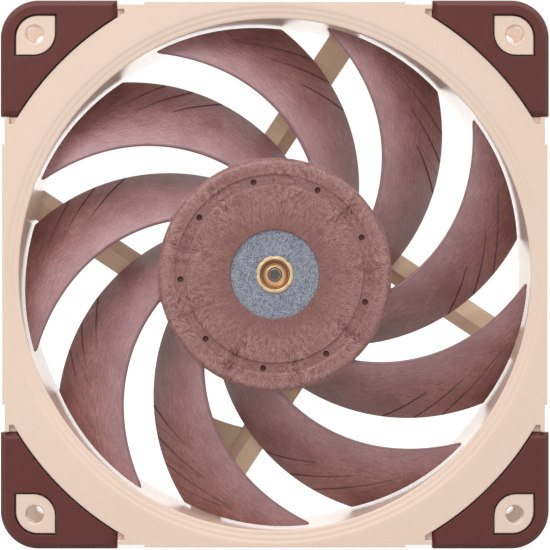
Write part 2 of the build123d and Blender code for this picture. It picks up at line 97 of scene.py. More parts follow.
# Along the span: radius, then the angle and the height of the leading edge,
# then the angle and the height of the trailing edge.
BLADE_STATIONS = [
    (24.0, 29.4, 9.3, -1.3, -6.3),
    (32.0, 42.9, 9.3, 14.2, -6.6),
    (40.0, 54.9, 9.1, 26.6, -6.8),
    (48.0, 66.9, 8.7, 37.8, -6.9),
    (57.0, 80.7, 8.1, 50.3, -7.0),
]
BLADE_THICK_ROOT = 2.2
BLADE_THICK_TIP = 1.3
BLADE_CAMBER = 0.075
LEADING_SHARE = 0.55
TRAILING_SHARE = 0.30
NOSE_LENGTH = 1.5                       # the leading edge is an ellipse this long
NOSE_SHARE = 0.3
NOSE_CORNER_R = 1.1                     # rounding of the leading edge into the tip
BLADE_CREST = 0.35                      # where along the chord the blade is thickest
BLADE_START_R = 24.4
ROOT_FILLET = 0.9
TIP_ROUND = 0.2
TIP_ROWS = 6                            # rows of points round the tip
ROW_CROWDING = 0.045                    # crowds the other rows towards the wedges

# Three thin raised wedges at the trailing edge: the radius of the inner and of the
# outer line at the trailing edge, the apex's radius and angle, and the inner line's bend.
WEDGES = [
    (40.3, 43.0, 43.0, 43.8, 1.1),
    (45.25, 47.85, 48.1, 52.4, 1.2),
    (49.5, 52.3, 53.1, 62.2, 1.45),
]
WEDGE_HEIGHT = 0.26
WEDGE_TAPER = 0.45                      # the share of that height lost towards the apex
WEDGE_WALL = 0.1                        # half the width of a wedge's steep side
WEDGE_GROOVE = 0.1                      # a fine groove along the foot of each steep side
CREASE_SHADE_WIDTH = 0.12                     # about half the width of the painted shade line in a groove
OUTER_CREASE_SHADE = 0.35                     # how dark the painted shade in the outer groove is beside the inner one
LEAD_SHADE_WIDTH = 0.75                        # the width of the painted shade band along the rounded leading edge
FAR_FROM_LEAD = 30.0                    # stands for the distance from it on the rear surface

# The brass boss, as radius and height below its face, from its outer edge inwards.
BOSS_PROFILE = [
    (3.98, -0.36), (4.06, -0.28), (4.07, -0.12), (4.0, -0.03), (3.88, 0.0), (3.44, 0.0),
    (3.34, -0.03), (3.24, -0.14), (3.1, -0.36), (2.9, -0.58), (2.6, -0.78), (2.3, -0.9),
    (2.0, -0.98), (1.86, -1.0), (1.79, -0.92), (1.58, -0.9), (1.53, -1.0),
]
BOSS_DEPTH = 4.5                        # how far back from the face its walls go
BOSS_NOTCHES = 8
BOSS_NOTCH_DEPTH = 0.14

# Where the materials change with the radius or the depth. A pair is where a fade begins
# and ends, and a pair of pairs is the fades at a ring's two edges.
STRUT_LIGHT_R = (54.5, 55.2)
STRUT_LIGHT_DEPTH = (4.0, 5.0)
NEAR_WINDOW_R = 16.5
RIM_HIGHLIGHT_R = ((23.2, 23.9), (24.8, 25.3))
CHANNEL_SHADE_R = ((19.3, 19.7), (21.5, 21.9))
LABEL_BORDER_R = ((20.6, 20.7), (21.1, 21.2))

# The camera, in metres: its distance from the front, and the width seen there.
CAMERA_DISTANCE = 0.5
VIEW_WIDTH = 0.12019
VIEW_SHIFT = (0.00045, -0.0009)
SENSOR_WIDTH = 36.0                     # in millimetres

# The studio's light by direction: a fill, then lobes of strength, direction and sharpness.
WORLD_SEEN = 1.02                       # what the camera sees, all round
WORLD_FILL = 0.03
WORLD_LOBES = [
    (0.85, (0.0, 0.0, 1.0), 1.0),
    (0.75, (0.0, -0.5, 0.87), 3.0),
    (0.26, (0.0, -1.0, 0.1), 2.0),
    (0.55, (1.0, 0.0, 0.1), 2.0),
    (0.33, (-1.0, 0.0, 0.1), 2.0),
    (1.5, (0.0, 1.0, 0.0), 5.0),
]
FLOOR_GREY = 0.26                       # what the floor gives back to the light
FLOOR_GLOW = 0.34                       # what it adds of its own round the fan
FLOOR_BACK = 1.6                        # and far behind the fan
FLOOR_BACK_FROM = (0.2, 0.5)            # where that begins, and where it is full
FLOOR_SEEN = 0.85                       # its glow to the camera
FLOOR_SIDE = 4.0                        # half the length of its side

# Area lights that face the fan: name, place, size, power in watts.
SOFTBOXES = [
    ("top_softbox", (0.02, -0.34, 0.68), (0.8, 0.36), 0.54),
    ("side_softbox", (-0.3, -0.45, 0.42), (0.3, 0.3), 1.25),
]


# ---- node trees ---------------------------------------------------------------------

class Tree:
    """A material under construction, with short calls for the nodes used here."""

    def __init__(self, name=None, owner=None):
        self.material = owner or bpy.data.materials.new(name)
        self.material.use_nodes = True
        self.nodes = self.material.node_tree.nodes
        self.links = self.material.node_tree.links
        self.shader = self.nodes.get("Principled BSDF")

    def put(self, socket, value):
        if isinstance(value, bpy.types.NodeSocket):
            self.links.new(value, socket)
        elif value is not None:
            socket.default_value = value

    def place(self):
        """Object coordinates, so that a texture stays on its piece."""
        return self.nodes.new("ShaderNodeTexCoord").outputs["Object"]

    def uv(self, name):
        node = self.nodes.new("ShaderNodeUVMap")
        node.uv_map = name
        return node.outputs["UV"]

    def math(self, operation, first, second=None, third=None, clamp=False):
        node = self.nodes.new("ShaderNodeMath")
        node.operation = operation
        node.use_clamp = clamp
        for socket, value in zip(node.inputs, (first, second, third)):
            self.put(socket, value)
        return node.outputs[0]

    def split(self, vector):
        node = self.nodes.new("ShaderNodeSeparateXYZ")
        self.put(node.inputs[0], vector)
        return node.outputs

    def join(self, x=0.0, y=0.0, z=0.0):
        node = self.nodes.new("ShaderNodeCombineXYZ")
        for socket, value in zip(node.inputs, (x, y, z)):
            self.put(socket, value)
        return node.outputs[0]

    def stretch(self, vector, scale):
        node = self.nodes.new("ShaderNodeMapping")
        self.put(node.inputs["Vector"], vector)
        node.inputs["Scale"].default_value = scale
        return node.outputs[0]

    def noise(self, vector, scale, detail=2.0, roughness=0.5, distortion=0.0):
        node = self.nodes.new("ShaderNodeTexNoise")
        self.put(node.inputs["Vector"], vector)
        node.inputs["Scale"].default_value = scale
        node.inputs["Detail"].default_value = detail
        node.inputs["Roughness"].default_value = roughness
        node.inputs["Distortion"].default_value = distortion
        return node.outputs["Fac"]

    def cells(self, vector, scale):
        node = self.nodes.new("ShaderNodeTexVoronoi")
        self.put(node.inputs["Vector"], vector)
        node.inputs["Scale"].default_value = scale
        return node.outputs["Distance"]

    def waves(self, vector, scale, direction, distortion=0.0):
        node = self.nodes.new("ShaderNodeTexWave")
        node.bands_direction = direction
        self.put(node.inputs["Vector"], vector)
        node.inputs["Scale"].default_value = scale
        node.inputs["Distortion"].default_value = distortion
        return node.outputs["Fac"]

    def span(self, value, low, high, to_low=0.0, to_high=1.0, smooth=False):
        node = self.nodes.new("ShaderNodeMapRange")
        node.interpolation_type = "SMOOTHSTEP" if smooth else "LINEAR"
        for socket, item in zip(node.inputs, (value, low, high, to_low, to_high)):
            self.put(socket, item)
        return node.outputs[0]

    def mix(self, share, first, second, blend="MIX"):
        node = self.nodes.new("ShaderNodeMix")
        node.data_type = "RGBA"
        node.blend_type = blend
        self.put(node.inputs["Factor"], share)
        colours = [s for s in node.inputs if s.type == "RGBA"]
        self.put(colours[0], first)
        self.put(colours[1], second)
        return [s for s in node.outputs if s.type == "RGBA"][0]

    def bump(self, height, depth, under=None):
        """A bump as deep as depth, in millimetres."""
        node = self.nodes.new("ShaderNodeBump")
        node.inputs["Strength"].default_value = 1.0
        node.inputs["Distance"].default_value = depth * MM
        self.put(node.inputs["Height"], height)
        self.put(node.inputs["Normal"], under)
        return node.outputs[0]

    def soft_edges(self, radius):
        """A normal that rounds the edges of a crisp mesh, and a mask of those edges."""
        rounded = self.nodes.new("ShaderNodeBevel")
        rounded.samples = 6
        rounded.inputs["Radius"].default_value = radius * MM
        plain = self.nodes.new("ShaderNodeNewGeometry")
        match = self.nodes.new("ShaderNodeVectorMath")
        match.operation = "DOT_PRODUCT"
        self.links.new(rounded.outputs[0], match.inputs[0])
        self.links.new(plain.outputs["Normal"], match.inputs[1])
        edge = self.span(match.outputs["Value"], 1.0, 0.82)
        return rounded.outputs[0], edge

    def polar(self):
        """Angle in turns and radius in metres about the fan's axis."""
        x, _, z = self.split(self.place())
        turns = self.math("DIVIDE", self.math("ARCTAN2", z, x), 2 * math.pi)
        radius = self.math("SQRT", self.math("ADD", self.math("MULTIPLY", x, x),
                                             self.math("MULTIPLY", z, z)))
        return turns, radius

    def ring(self, radius, inner, outer, strength=1.0, smooth=True):
        """A mask of a ring about the axis. Inner and outer are pairs of radii in mm,
        between which the ring's edges fade."""
        within = self.span(radius, inner[0] * MM, inner[1] * MM, 0.0, strength, smooth)
        before = self.span(radius, outer[1] * MM, outer[0] * MM, 0.0, 1.0, smooth)
        return self.math("MULTIPLY", within, before)

    def finish(self, colour=None, roughness=None, normal=None, **constants):
        self.put(self.shader.inputs["Base Color"], colour)
        self.put(self.shader.inputs["Roughness"], roughness)
        self.put(self.shader.inputs["Normal"], normal)
        for name, value in constants.items():
            self.shader.inputs[name.replace("_", " ")].default_value = value
        return self.material


def shade(red, green, blue):
    """A linear colour from display values of 0 to 255."""
    def linear(value):
        value = value / 255
        return value / 12.92 if value <= 0.04045 else ((value + 0.055) / 1.055) ** 2.4
    return (linear(red), linear(green), linear(blue), 1.0)


# ---- materials ----------------------------------------------------------------------

def frame_plastic():
    """Beige glass-filled plastic: satin, finely grained, paler on its edges."""
    tree = Tree("frame_plastic")
    place = tree.place()
    rounded, edge = tree.soft_edges(0.28)
    cloud = tree.noise(place, 45.0, 3.0)
    speck = tree.noise(place, 2600.0, 2.0)
    colour = tree.mix(cloud, shade(231, 205, 187), shade(236, 212, 195))
    colour = tree.mix(tree.span(speck, 0.3, 0.7, 0.0, 0.12), colour, shade(210, 185, 163))
    # painted light: the struts are made a little paler and yellower, for the light they get deep
    # in the duct
    _, depth, _ = tree.split(place)
    _, radius = tree.polar()
    strut_painted_light = tree.math("MULTIPLY", tree.span(radius, STRUT_LIGHT_R[1] * MM, STRUT_LIGHT_R[0] * MM, 0.0, 0.7),
                      tree.span(depth, STRUT_LIGHT_DEPTH[0] * MM, STRUT_LIGHT_DEPTH[1] * MM))
    colour = tree.mix(strut_painted_light, colour, shade(246, 228, 194))
    colour = tree.mix(tree.math("MULTIPLY", edge, 0.25), colour, shade(240, 221, 205))
    grain = tree.bump(speck, 0.0012, rounded)
    rough = tree.span(tree.noise(place, 900.0, 2.0), 0.3, 0.7, 0.2, 0.25)
    return tree.finish(colour, rough, grain, Specular_IOR_Level=0.5)


def pad_rubber():
    """Dark red-brown silicone rubber: matt grain, soft sheen, paler edges."""
    tree = Tree("pad_rubber")
    place = tree.place()
    rounded, edge = tree.soft_edges(0.3)
    cloud = tree.noise(place, 60.0, 3.0)
    colour = tree.mix(cloud, shade(92, 39, 31), shade(98, 42, 35))
    speck = tree.noise(place, 3400.0, 2.0)
    colour = tree.mix(tree.span(speck, 0.35, 0.75, 0.0, 0.25), colour, shade(100, 48, 41))
    colour = tree.mix(tree.math("MULTIPLY", edge, 0.3), colour, shade(103, 54, 48))
    grain = tree.bump(tree.noise(place, 4200.0, 4.0), 0.02, rounded)
    rough = tree.span(tree.noise(place, 700.0, 2.0), 0.3, 0.7, 0.36, 0.46)
    return tree.finish(colour, rough, grain, Specular_IOR_Level=0.45, Sheen_Weight=0.03,
                       Sheen_Roughness=0.5)


def fibre_tones(tree, flow, width, length, dark, light):
    """Streaks along the flow, width by length in millimetres: their colour and height."""
    broad = tree.noise(tree.stretch(flow, (0.4 / width, 0.5 / length, 1.0)), 1.0, 2.0, 0.5, 0.5)
    strand = tree.noise(tree.stretch(flow, (1.0 / width, 1.0 / length, 1.0)), 1.0, 3.0, 0.66, 0.35)
    hair = tree.noise(tree.stretch(flow, (2.2 / width, 2.5 / length, 1.0)), 1.0, 1.0, 0.5, 0.3)
    share = tree.math("MULTIPLY_ADD", strand, 0.45, tree.math("MULTIPLY", hair, 0.55))
    share = tree.math("MULTIPLY_ADD", broad, 0.28, tree.math("MULTIPLY", share, 0.72))
    colour = tree.mix(tree.span(share, 0.38, 0.62), dark, light)
    return colour, share


def blade_plastic():
    """Glass-fibre filled polymer on the blades: brown, with a mauve satin sheen, partly a painted
    highlight towards the leading edge.
    """
    tree = Tree("impeller_blade_plastic")
    flow = tree.uv("Flow")
    place = tree.place()
    colour, share = fibre_tones(tree, flow, 0.26, 0.9, shade(92, 49, 42), shade(201, 151, 147))
    cloud = tree.noise(place, 150.0, 3.0, 0.55)
    colour = tree.mix(tree.span(cloud, 0.42, 0.72, 0.0, 0.55), colour, shade(121, 71, 62))
    crease_shade, from_lead, _ = tree.split(tree.uv("Marks"))
    # a painted mauve highlight, greyer towards the leading edge, and painted shade, redder towards
    # the trailing edge
    ahead = tree.span(from_lead, 15.0, 4.0, 0.0, 0.2, smooth=True)
    colour = tree.mix(ahead, colour, shade(186, 160, 172))
    # painted shade: redder towards the trailing edge
    behind = tree.span(from_lead, 13.0, 22.0, 0.0, 0.16, smooth=True)
    colour = tree.mix(behind, colour, shade(138, 62, 48))
    # painted shade along the rounded leading edge
    lead_shade = tree.span(from_lead, LEAD_SHADE_WIDTH - 0.35, LEAD_SHADE_WIDTH, 0.45, 0.0, smooth=True)
    colour = tree.mix(lead_shade, colour, shade(100, 58, 52))
    # painted shade in the wedges' creases
    colour = tree.mix(tree.math("MULTIPLY", crease_shade, 0.85), colour, shade(54, 22, 19))
    grain = tree.bump(tree.noise(place, 3600.0, 2.0), 0.008)
    normal = tree.bump(share, 0.03, grain)
    rough = tree.span(share, 0.35, 0.65, 0.36, 0.5)
    return tree.finish(colour, rough, normal, Specular_IOR_Level=0.85,
                       Specular_Tint=(0.9, 0.86, 1.0, 1.0), Sheen_Weight=0.05,
                       Sheen_Roughness=0.4, Sheen_Tint=(0.85, 0.85, 1.0, 1.0))


def hub_plastic():
    """The same polymer on the hub: fibres fan from the gates and meet in weld lines."""
    tree = Tree("impeller_hub_plastic")
    flow = tree.uv("Flow")
    place = tree.place()
    turns, radius = tree.polar()
    colour, share = fibre_tones(tree, flow, 0.27, 0.85, shade(95, 52, 45), shade(185, 139, 133))
    cloud = tree.noise(place, 170.0, 3.0, 0.6)
    colour = tree.mix(tree.span(cloud, 0.45, 0.75, 0.0, 0.5), colour, shade(127, 80, 72))
    # redder towards the window
    near = tree.span(radius, HUB_WINDOW_R * MM, NEAR_WINDOW_R * MM, 0.55, 0.0, smooth=True)
    colour = tree.mix(near, colour, shade(120, 76, 69))
    # a painted highlight, paler on the rounded rim
    rim = tree.ring(radius, *RIM_HIGHLIGHT_R, 0.13)
    colour = tree.mix(rim, colour, shade(192, 158, 150))
    # painted shade, darker in the recessed channel
    channel = tree.ring(radius, *CHANNEL_SHADE_R, 0.2)
    colour = tree.mix(channel, colour, shade(102, 66, 60))
    # dark weld lines half way between the gates
    from_gate = gate_offset(tree, turns)
    away = tree.math("ABSOLUTE", from_gate)
    wander = tree.math("MULTIPLY", tree.math("SUBTRACT", tree.noise(place, 420.0, 2.0), 0.5), 0.06)
    weld = tree.span(tree.math("ADD", away, wander), 0.5, 0.42, 0.14, 0.0, smooth=True)
    colour = tree.mix(weld, colour, shade(101, 57, 52))
    gate = gate_mask(tree, from_gate, radius)
    colour = tree.mix(gate, colour, shade(71, 26, 20))
    grain = tree.bump(tree.noise(place, 3600.0, 2.0), 0.008)
    normal = tree.bump(share, 0.02, grain)
    rough = tree.span(share, 0.35, 0.65, 0.38, 0.54)
    return tree.finish(colour, rough, normal, Specular_IOR_Level=0.45, Sheen_Weight=0.05,
                       Sheen_Roughness=0.4, Sheen_Tint=(0.9, 0.88, 1.0, 1.0))


def gate_offset(tree, turns):
    """The angle from the nearest gate: 0 at the gate, 0.5 and -0.5 half way to the next."""
    whole_turns = 20                    # keeps the phase above zero
    start = 0.5 - GATE_ANGLE * GATE_COUNT / 360 + whole_turns
    phase = tree.math("MULTIPLY_ADD", turns, GATE_COUNT, start)
    return tree.math("SUBTRACT", tree.math("FRACT", phase), 0.5)


def gate_mask(tree, from_gate, radius):
    """Strong inside the nine gate marks, fading out just past their rims."""
    sideways = tree.math("MULTIPLY", from_gate, 2 * math.pi * GATE_RING_R * MM / GATE_COUNT)
    outwards = tree.math("SUBTRACT", radius, GATE_RING_R * MM)
    squares = tree.math("MULTIPLY_ADD", sideways, sideways,
                        tree.math("MULTIPLY", outwards, outwards))
    away = tree.math("SQRT", squares)
    return tree.span(away, (GATE_R + 0.12) * MM, (GATE_R - 0.1) * MM, 0.0, 0.9, smooth=True)


def yoke_steel():
    """Zinc-plated sheet steel with a fine sparkling grain."""
    tree = Tree("yoke_steel")
    place = tree.place()
    grain = tree.noise(place, 4400.0, 1.0, 0.6)
    coarse = tree.noise(place, 1700.0, 2.0, 0.6)
    tint = tree.noise(place, 3100.0, 1.0)
    share = tree.span(tree.math("MULTIPLY_ADD", coarse, 0.3, tree.math("MULTIPLY", grain, 0.7)),
                      0.34, 0.66)
    colour = tree.mix(share, shade(57, 59, 74), shade(194, 198, 211))
    colour = tree.mix(tree.span(tint, 0.55, 0.75, 0.0, 0.4), colour, shade(165, 158, 138))
    normal = tree.bump(grain, 0.03)
    rough = tree.span(coarse, 0.3, 0.7, 0.42, 0.6)
    return tree.finish(colour, rough, normal, Metallic=0.7)


def turned_metal(name, dark, light, pitch, rough, ring, **constants):
    """Metal with the fine rings that a lathe leaves about the axis.

    Ring is an inner radius, an outer radius, a fade inwards, all in mm, and a colour.
    """
    tree = Tree(name)
    place = tree.place()
    _, radius = tree.polar()
    turned = tree.noise(tree.join(tree.math("MULTIPLY", radius, 1 / (pitch * MM))), 1.0, 2.0)
    smear = tree.noise(place, 400.0, 3.0)
    colour = tree.mix(tree.math("MULTIPLY_ADD", turned, 0.5, tree.math("MULTIPLY", smear, 0.5)),
                      dark, light)
    low, high, fade, ring_colour = ring
    inside = tree.ring(radius, (low - fade, low + 0.1), (high - 0.08, high + 0.08))
    colour = tree.mix(inside, colour, ring_colour)
    normal = tree.bump(turned, 0.01)
    return tree.finish(colour, tree.span(smear, 0.3, 0.7, *rough), normal, **constants)


def brass_metal(name):
    """Turned brass, dulled by handling, brown with tarnish where the dish begins."""
    return turned_metal(name, shade(214, 172, 122), shade(255, 226, 184), 0.08, (0.36, 0.48),
                        (2.75, 3.32, 1.3, shade(142, 80, 14)), Metallic=0.5)


def grained(name, dark, light, scale, rough_low, rough_high, depth=0.01, **constants):
    """A plain mottled material with a fine grain."""
    tree = Tree(name)
    place = tree.place()
    rounded, edge = tree.soft_edges(0.12)
    mottle = tree.noise(place, scale, 4.0, 0.6)
    colour = tree.mix(tree.span(mottle, 0.3, 0.7), dark, light)
    colour = tree.mix(tree.math("MULTIPLY", edge, 0.3), colour, light)
    normal = tree.bump(tree.noise(place, scale * 3.1, 3.0), depth, rounded)
    rough = tree.span(tree.noise(place, scale * 0.6, 2.0), 0.3, 0.7, rough_low, rough_high)
    return tree.finish(colour, rough, normal, **constants)


def wave_scale(pitch):
    """The scale at which a wave texture's bands along an axis are pitch mm apart."""
    return 2 * math.pi / 20 / (pitch * MM)


def lamination_steel():
    """Stacked steel sheets, blued by annealing, with bands coarser than real sheets."""
    tree = Tree("lamination_steel")
    place = tree.place()
    sheets = tree.waves(place, wave_scale(3.1416), "Y")
    tint = tree.noise(place, 260.0, 3.0)
    colour = tree.mix(tint, shade(92, 96, 106), shade(132, 134, 140))
    colour = tree.mix(tree.span(sheets, 0.0, 0.25, 0.6, 0.0), colour, shade(40, 40, 44))
    normal = tree.bump(sheets, 0.04)
    rough = tree.span(tint, 0.3, 0.7, 0.35, 0.5)
    return tree.finish(colour, rough, normal, Metallic=0.9)


def copper_wire():
    """Enamelled copper wire, wound in layers, with turns coarser than real wire."""
    tree = Tree("copper_wire")
    place = tree.place()
    turns = tree.waves(place, wave_scale(1.5708), "DIAGONAL", 0.3)
    tint = tree.noise(place, 500.0, 3.0)
    colour = tree.mix(tint, shade(150, 74, 36), shade(196, 112, 62))
    colour = tree.mix(tree.span(turns, 0.0, 0.35, 0.7, 0.0), colour, shade(64, 28, 14))
    normal = tree.bump(turns, 0.08)
    rough = tree.span(tint, 0.3, 0.7, 0.22, 0.36)
    return tree.finish(colour, rough, normal, Metallic=0.9, Coat_Weight=0.5)


def board_laminate():
    """Green solder resist over a woven glass laminate, with faint copper tracks."""
    tree = Tree("board_laminate")
    place = tree.place()
    weave_x = tree.waves(place, wave_scale(3.7699), "X")
    weave_z = tree.waves(place, wave_scale(3.7699), "Z")
    weave = tree.math("MULTIPLY", weave_x, weave_z)
    tracks = tree.cells(place, 330.0)
    colour = tree.mix(tree.span(tracks, 0.25, 0.32), shade(26, 84, 54), shade(18, 64, 44))
    colour = tree.mix(tree.math("MULTIPLY", weave, 0.3), colour, shade(52, 112, 76))
    normal = tree.bump(weave, 0.02)
    rough = tree.span(tree.noise(place, 300.0), 0.3, 0.7, 0.25, 0.4)
    return tree.finish(colour, rough, normal)


def label_film():
    """A blank satin label: warm white film with a faint fibre and a darker border."""
    tree = Tree("label_film")
    place = tree.place()
    _, radius = tree.polar()
    fibre = tree.noise(tree.stretch(place, (900.0, 900.0, 4200.0)), 1.0, 3.0)
    colour = tree.mix(tree.span(fibre, 0.3, 0.7), shade(222, 212, 200), shade(236, 229, 220))
    border = tree.ring(radius, *LABEL_BORDER_R, 0.8, smooth=False)
    colour = tree.mix(border, colour, shade(128, 84, 76))
    normal = tree.bump(fibre, 0.008)
    rough = tree.span(fibre, 0.3, 0.7, 0.4, 0.5)
    return tree.finish(colour, rough, normal, Coat_Weight=0.2)


def cad_materials():
    """Each CAD node's material, by the name of its node."""
    beige = frame_plastic()
    rubber = pad_rubber()
    brass = brass_metal("turned_brass")
    # the near-white ring on the shaft's end is a painted highlight on its chamfer
    steel = turned_metal("shaft_steel", shade(100, 95, 96), shade(136, 131, 132), 0.05,
                         (0.22, 0.34), (1.14, 1.4, 0.1, shade(255, 246, 226)), Metallic=1.0)
    nylon = grained("clip_plastic", shade(204, 204, 198), shade(228, 228, 222), 900.0, 0.4, 0.5)
    magnet = grained("magnet", shade(50, 49, 50), shade(76, 74, 74), 1500.0, 0.55, 0.7, 0.03)
    tinned = grained("tinned_metal", shade(176, 178, 182), shade(214, 216, 218), 1400.0, 0.2, 0.35,
                     Metallic=1.0)
    insulator = grained("insulator_plastic", shade(226, 220, 204), shade(238, 234, 222), 500.0,
                        0.42, 0.52)
    materials = {
        "frame": beige,
        "rotor_yoke": yoke_steel(),
        "rotor_magnet": magnet,
        "stabilising_magnet": magnet,
        "shaft_boss": brass,
        "bearing_shell": brass,
        "shaft": steel,
        "retaining_clip": nylon,
        "oil_seal_ring": nylon,
        "thrust_plate": nylon,
        "bearing_sleeve": grained("sintered_bronze", shade(134, 98, 58), shade(176, 136, 88),
                                  2600.0, 0.4, 0.6, 0.03, Metallic=0.9),
        "stator_core": lamination_steel(),
        "front_insulator": insulator,
        "rear_insulator": insulator,
        "stator_coils": copper_wire(),
        "winding_pins": tinned,
        "wire_pads": tinned,
        "circuit_board": board_laminate(),
        "driver_chip": grained("chip_epoxy", shade(34, 34, 36), shade(50, 50, 52),
                               1800.0, 0.5, 0.65),
        "hall_sensor": grained("sensor_epoxy", shade(36, 36, 38), shade(54, 54, 56),
                               1800.0, 0.5, 0.65),
        "capacitors": grained("capacitor_ceramic", shade(150, 118, 84), shade(178, 146, 108),
                              1200.0, 0.35, 0.5),
        "resistors": grained("resistor_ceramic", shade(30, 30, 34), shade(226, 226, 222), 700.0,
                             0.35, 0.5),
        "rear_label": label_film(),
    }
    for name in nodes:
        if name.startswith("pad_"):
            materials[name] = rubber
    return materials


def paint(thing, material):
    """Give a mesh one material."""
    thing.data.materials.clear()
    thing.data.materials.append(material)


# ---- meshes -------------------------------------------------------------------------

def stood_up(radius, angle, height):
    """Row-frame points, in metres, from radius, angle in degrees and height in mm."""
    turn = np.radians(angle)
    return np.stack([radius * np.cos(turn), -height, radius * np.sin(turn)], axis=-1) * MM


def grid_faces(rows, columns, close_rows=False, close_columns=False):
    """Quads of a grid of points, numbered row by row."""
    row = np.arange(rows if close_rows else rows - 1)
    column = np.arange(columns if close_columns else columns - 1)
    row, column = np.meshgrid(row, column, indexing="ij")
    below = (row + 1) % rows
    beside = (column + 1) % columns
    return np.stack([row * columns + column, row * columns + beside,
                     below * columns + beside, below * columns + column], axis=-1).reshape(-1, 4)


def unwrapped(column, columns):
    """The faces' columns, with 0 counted as the last one's successor where a ring closes,
    so that no face runs backwards round it."""
    closing = column.max(axis=1, keepdims=True) == columns - 1
    return np.where((column == 0) & closing, columns, column)


def build(name, points, faces, **layers):
    """A smooth-shaded mesh object. A layer holds a pair of values for each face corner."""
    mesh = bpy.data.meshes.new(name)
    mesh.from_pydata(points.reshape(-1, 3).tolist(), [], faces.tolist())
    for layer_name, values in layers.items():
        layer = mesh.uv_layers.new(name=layer_name)
        layer.data.foreach_set("uv", values.reshape(-1).astype(np.float32))
    mesh.polygons.foreach_set("use_smooth", np.ones(len(mesh.polygons), bool))
    mesh.validate()
    mesh.update()
    thing = bpy.data.objects.new(name, mesh)
    scene.collection.objects.link(thing)
    return thing


def smoothstep(value, low, high):
    share = np.clip((value - low) / (high - low), 0, 1)
    return share * share * (3 - 2 * share)


# ---- hub ----------------------------------------------------------------------------

def corner_arc(radius, height, round_r, start, end, count=6):
    """Points of a rounded corner, about a centre given by radius and height."""
    turn = np.radians(np.linspace(start, end, count))
    return [(radius + round_r * math.cos(a), height + round_r * math.sin(a)) for a in turn]


def hub_profile():
    """The hub's half section, once round: face, rim, wall, and back inside the wall."""
    lip = 0.14
    points = [(HUB_WINDOW_R, HUB_FACE_UNDER)]
    points += corner_arc(HUB_WINDOW_R + lip, HUB_FACE - lip, lip, 180, 90)
    inner, outer = CHANNEL_R
    points += [(r, HUB_FACE) for r in np.linspace(HUB_WINDOW_R + 0.4, inner - 0.5, 20)]
    points += [(r, HUB_FACE) for r in np.arange(inner - 0.4, outer + 0.45, 0.1)]
    points += [(r, HUB_FACE) for r in np.linspace(outer + 0.6, HUB_R - HUB_EDGE_R - 0.1, 8)]
    points += corner_arc(HUB_R - HUB_EDGE_R, HUB_FACE - HUB_EDGE_R, HUB_EDGE_R, 90, 0, 12)
    below = HUB_FACE - HUB_EDGE_R - 0.25
    points += [(HUB_R, below)]
    points += corner_arc(HUB_R, below - HUB_SHOULDER, HUB_SHOULDER, 80, 0, 4)
    wall = HUB_R + HUB_SHOULDER
    # the wall leans in by the draft that lets it out of its mould
    draft, wall_steps = 0.1, 6
    points += [(wall - draft * k / wall_steps,
                below - 0.4 + (HUB_REAR + 0.6 - below) * k / wall_steps)
               for k in range(wall_steps + 1)]
    points += corner_arc(HUB_R - 0.1, HUB_REAR + 0.15, 0.15, 0, -90, 4)
    points += [(YOKE_R + 0.15, HUB_REAR), (YOKE_R, HUB_REAR + 0.15), (YOKE_R, HUB_FACE_UNDER)]
    return np.array(points)


def hub_mesh():
    """The hub's cap, with its shallow channel and the nine gate marks."""
    turns = HUB_STEPS
    profile = hub_profile()
    angle = np.arange(turns) * 360.0 / turns
    radius = np.repeat(profile[:, :1], turns, axis=1)
    height = np.repeat(profile[:, 1:], turns, axis=1)
    on_face = height > HUB_FACE - 0.01
    inner, outer = CHANNEL_R
    half = CHANNEL_SLOPE / 2
    sunk = smoothstep(radius, inner - half, inner + half)
    sunk = sunk * (1 - smoothstep(radius, outer - half, outer + half))
    height = height - on_face * sunk * CHANNEL_DEPTH
    for k in range(GATE_COUNT):
        centre = math.radians(GATE_ANGLE + 360 / GATE_COUNT * k)
        across = radius * np.cos(np.radians(angle)) - GATE_RING_R * math.cos(centre)
        up = radius * np.sin(np.radians(angle)) - GATE_RING_R * math.sin(centre)
        away = np.hypot(across, up)
        dip = 1 - smoothstep(away, GATE_R - 0.28, GATE_R + 0.04)
        ridge = np.exp(-((away - GATE_R - 0.14) / 0.1) ** 2) * GATE_RIDGE
        height = height + on_face * (ridge - dip * GATE_DEPTH)
    points = stood_up(radius, angle, height)
    faces = grid_faces(len(profile), turns, close_rows=True, close_columns=True)[:, ::-1]
    flow = hub_flow(profile, turns, faces)
    return build("impeller_hub", points, faces, Flow=flow)


def hub_flow(profile, turns, faces):
    """How the plastic ran: rays from each gate, turned aside half way to the next gate.

    These are the streamlines of a ring of evenly spaced sources, so they bend smoothly
    from the gate's rays into straight spokes. The pair is across and along the flow, in mm.
    """
    pitch = 2 * math.pi / GATE_COUNT
    row, column = np.divmod(faces, turns)
    column = unwrapped(column, turns)
    angle = column * 2 * math.pi / turns - math.radians(GATE_ANGLE) + pitch / 2
    sector = np.floor(angle.mean(axis=1, keepdims=True) / pitch)
    across = np.clip(angle - (sector + 0.5) * pitch, -pitch / 2, pitch / 2) * math.pi / pitch
    length = np.cumsum(np.r_[0, np.hypot(*np.diff(profile, axis=0).T)])
    gate = length[np.argmin(np.abs(profile[:, 0] - GATE_RING_R))]
    along = np.abs(length[row] - gate) / GATE_RING_R * math.pi / pitch
    ray = np.arctan2(np.sin(across) * np.cosh(along), np.cos(across) * np.sinh(along) + 1e-4)
    travel = 0.5 * np.log(np.sinh(along) ** 2 + np.sin(across) ** 2 + 0.01)
    unit_length = GATE_RING_R * pitch / math.pi
    lane = (ray / math.pi + sector) * pitch * GATE_RING_R
    return np.stack([lane, travel * unit_length], axis=-1)


